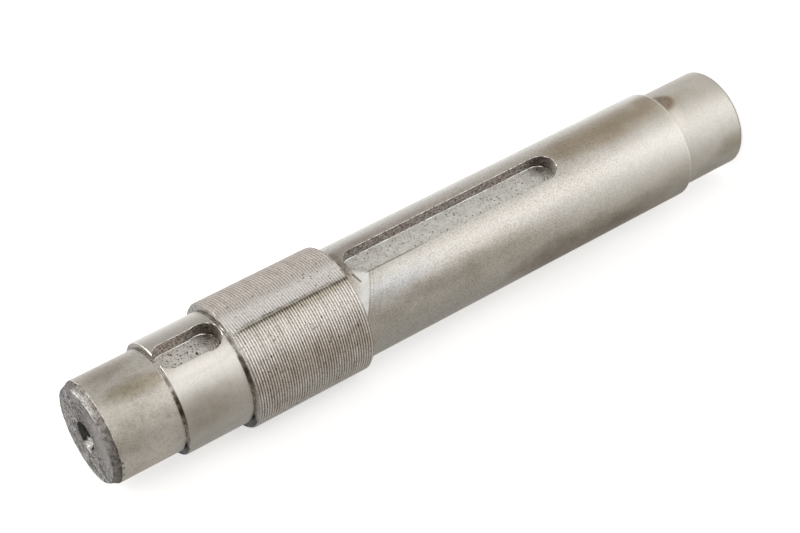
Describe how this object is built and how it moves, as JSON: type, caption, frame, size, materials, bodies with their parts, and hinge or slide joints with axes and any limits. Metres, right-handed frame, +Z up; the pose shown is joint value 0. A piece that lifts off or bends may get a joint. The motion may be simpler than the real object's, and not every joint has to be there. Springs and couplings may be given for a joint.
{
  "type": "stepped shaft",
  "caption": "Stepped turned shaft with plain end journals, a fine-threaded collar and round-ended keyways, for carrying and driving hubs, gears or pulleys.",
  "frame": {"origin": "centre of the foot journal's end face, on the shaft's axis", "axes": "+Z up the axis from the foot to the head journal; both keyways and the flat on the thread face -Y"},
  "size_m": [0.07, 0.0689, 0.407],
  "materials": {
    "steel": "fine-ground, with dull marks and pitting"
  },
  "bodies": {
    "root": {"shaft": "steel"}
  },
  "joints": []
}
